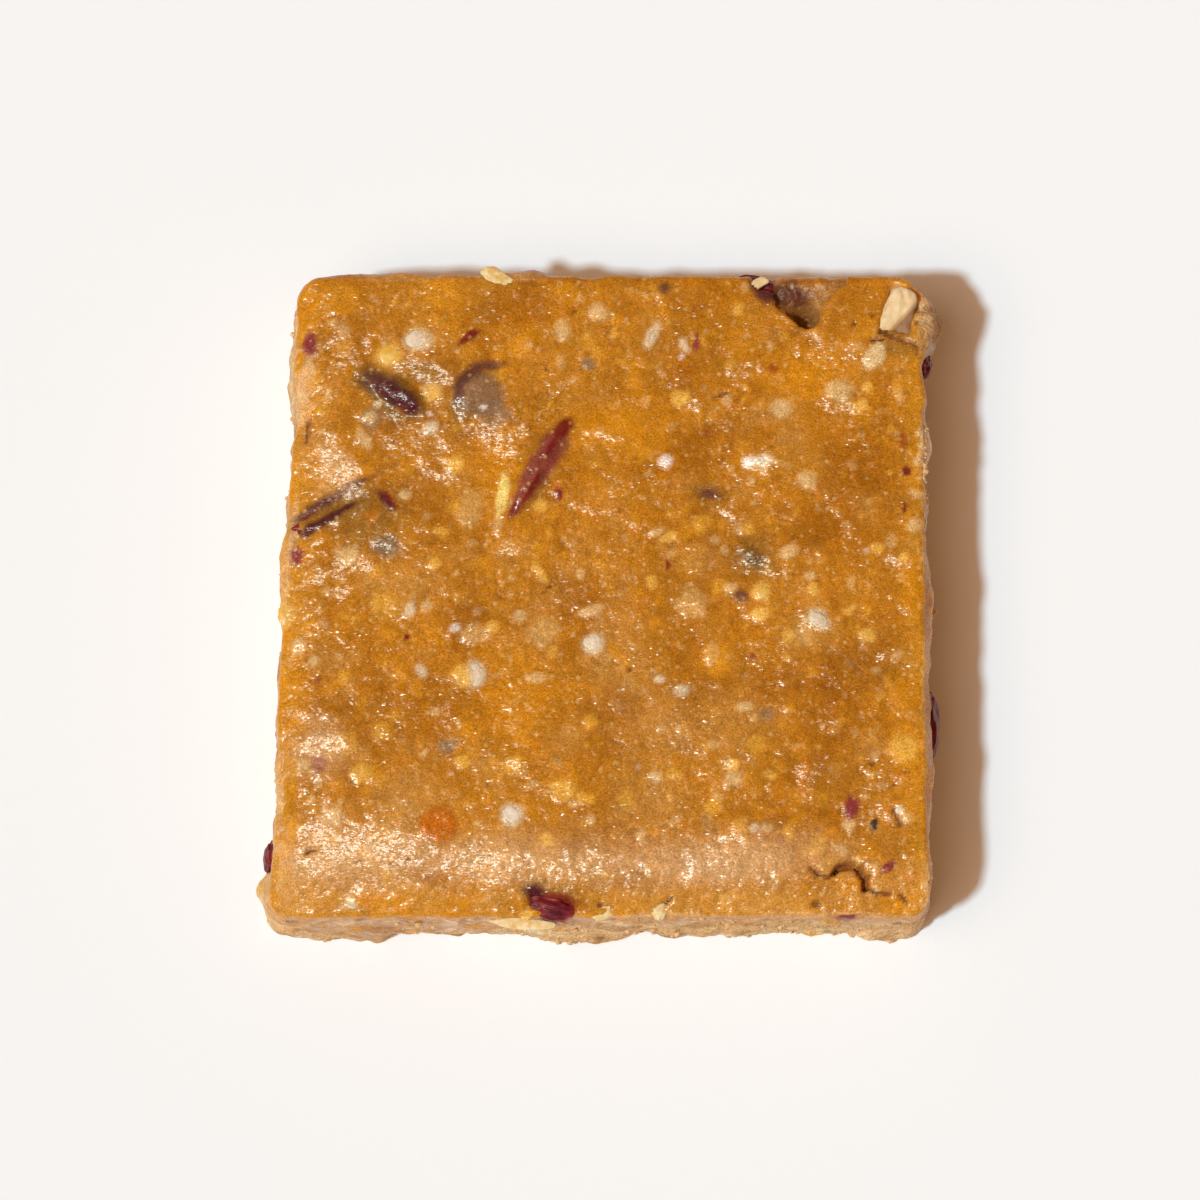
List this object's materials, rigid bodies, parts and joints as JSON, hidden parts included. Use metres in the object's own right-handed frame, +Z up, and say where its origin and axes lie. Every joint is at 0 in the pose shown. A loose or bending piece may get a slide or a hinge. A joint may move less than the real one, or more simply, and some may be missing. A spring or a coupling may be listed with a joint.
{
  "type": "nut butter bar",
  "caption": "Square snack bar of pressed nut butter paste with a smooth glossy top, rough cut sides, and dried fruit, grains and nut chips set in it.",
  "frame": {"origin": "middle of the bar's underside, on the surface it rests on", "axes": "+Z up through the thickness, +X to the right along the front edge, +Y to the back"},
  "size_m": [0.0659, 0.0644, 0.015],
  "materials": {
    "nut_paste": "oily pressed nut paste, translucent caramel brown",
    "dried_fruit": "dark red leathery dried fruit",
    "nut": "pale beige broken nut"
  },
  "bodies": {
    "root": {"bar": "nut_paste", "fruit_strip": "dried_fruit", "fruit_left_fold": "dried_fruit", "fruit_upper_left": "dried_fruit", "fruit_disc": "dried_fruit", "fruit_front": "dried_fruit", "fruit_back": "dried_fruit", "fruit_corner": "dried_fruit", "fruit_right_side": "dried_fruit", "fruit_left_side": "dried_fruit", "nut_chunk": "nut", "nut_flake": "nut"}
  },
  "joints": []
}
